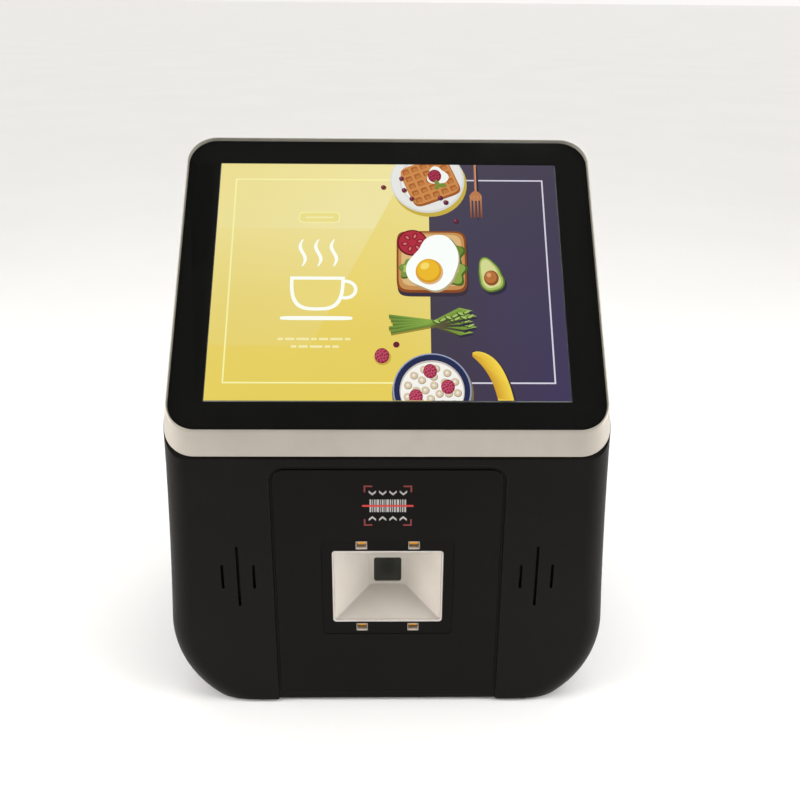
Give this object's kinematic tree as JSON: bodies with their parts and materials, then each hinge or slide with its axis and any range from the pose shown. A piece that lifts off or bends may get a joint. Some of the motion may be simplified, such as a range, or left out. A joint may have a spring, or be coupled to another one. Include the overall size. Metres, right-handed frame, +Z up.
{
  "type": "self checkout kiosk",
  "caption": "Counter self checkout terminal: sloped touch display on a wedge body with a front barcode scanner, side speakers and rear ports.",
  "frame": {"origin": "bottom centre of the bounding box, at the underside of the rubber feet", "axes": "+X to the customer's right when facing the display, +Y to the back, +Z up"},
  "size_m": [0.2682, 0.1738, 0.3201],
  "materials": {
    "cover_glass": "polished, clear, 2.8 mm",
    "border_print": "black ceramic print seen through glass",
    "black_foam": "closed-cell foam tape",
    "silver_paint": "fine warm silver paint, satin",
    "display_module": "lit liquid crystal display",
    "zinc_steel": "zinc plated sheet steel",
    "screw_steel": "zinc plated",
    "screw_black": "black oxide",
    "green_board": "solder resist over glass fibre",
    "black_shell": "fine spark texture, satin",
    "black_steel": "black powder coat",
    "black_rubber": "moulded, matt",
    "brass": "turned",
    "chip_black": "moulded epoxy",
    "black_aluminium": "black anodised",
    "socket_plastic": "natural nylon",
    "nickel": "nickel plated steel",
    "black_gloss": "moulded, semi-gloss",
    "spring_steel": "drawn wire",
    "black_panel": "moulded, satin",
    "clear_pane": "clear acrylic",
    "white_plastic": "matt white moulding",
    "dark_glass": "infrared-dark glass",
    "white_board": "white solder resist",
    "amber_lamp": "phosphor in a white housing, unlit",
    "red_ink": "pad printed ink",
    "white_ink": "pad printed ink",
    "cone_paper": "pressed paper",
    "magnet": "ferrite",
    "ribbon": "flat flexible cable"
  },
  "bodies": {
    "terminal": {"cover_glass": "cover_glass", "glass_border": "border_print", "glass_tape": "black_foam", "display_bezel": "silver_paint", "display_module": "display_module", "display_bracket": "zinc_steel", "bracket_screws": "screw_steel", "touch_board": "green_board", "front_shell": "black_shell", "rear_cover": "black_shell", "cover_screws": "screw_black", "base_plate": "black_steel", "base_screws": "screw_steel", "rubber_feet": "black_rubber", "fixing_nuts": "zinc_steel", "board_standoffs": "brass", "main_board": "green_board", "board_screws": "screw_steel", "board_chips": "chip_black", "heat_sink": "black_aluminium", "ribbon_sockets": "socket_plastic", "usb_port_left": "nickel", "usb_port_right": "nickel", "lan_port": "nickel", "video_port": "nickel", "power_inlet": "chip_black", "port_plate": "zinc_steel", "power_switch": "chip_black", "button_spring": "spring_steel", "scanner_fascia": "black_panel", "scan_frame": "black_gloss", "scan_window": "clear_pane", "scan_reflector": "white_plastic", "scan_engine": "chip_black", "camera_window": "dark_glass", "camera_lens": "dark_glass", "engine_screws": "screw_steel", "lamp_boards": "white_board", "scan_lamps": "amber_lamp", "lamp_wells": "white_plastic", "symbol_brackets": "red_ink", "symbol_bars": "white_ink", "symbol_beam": "red_ink", "speaker_gasket_left": "black_foam", "speaker_gasket_right": "black_foam", "speaker_basket_left": "black_steel", "speaker_basket_right": "black_steel", "speaker_cone_left": "cone_paper", "speaker_cone_right": "cone_paper", "speaker_magnet_left": "magnet", "speaker_magnet_right": "magnet", "front_screws": "screw_steel", "display_ribbon": "ribbon", "scanner_ribbon": "ribbon"},
    "power_button": {"power_button": "black_gloss"}
  },
  "joints": [
    {"name": "power_button_press", "type": "slide", "parent": "terminal", "child": "power_button", "axis": [0, -1, 0], "range_m": [0, 0.0012], "stiffness_N_per_m": 600, "springref_m": -0.0005, "deforming": ["button_spring"]}
  ]
}
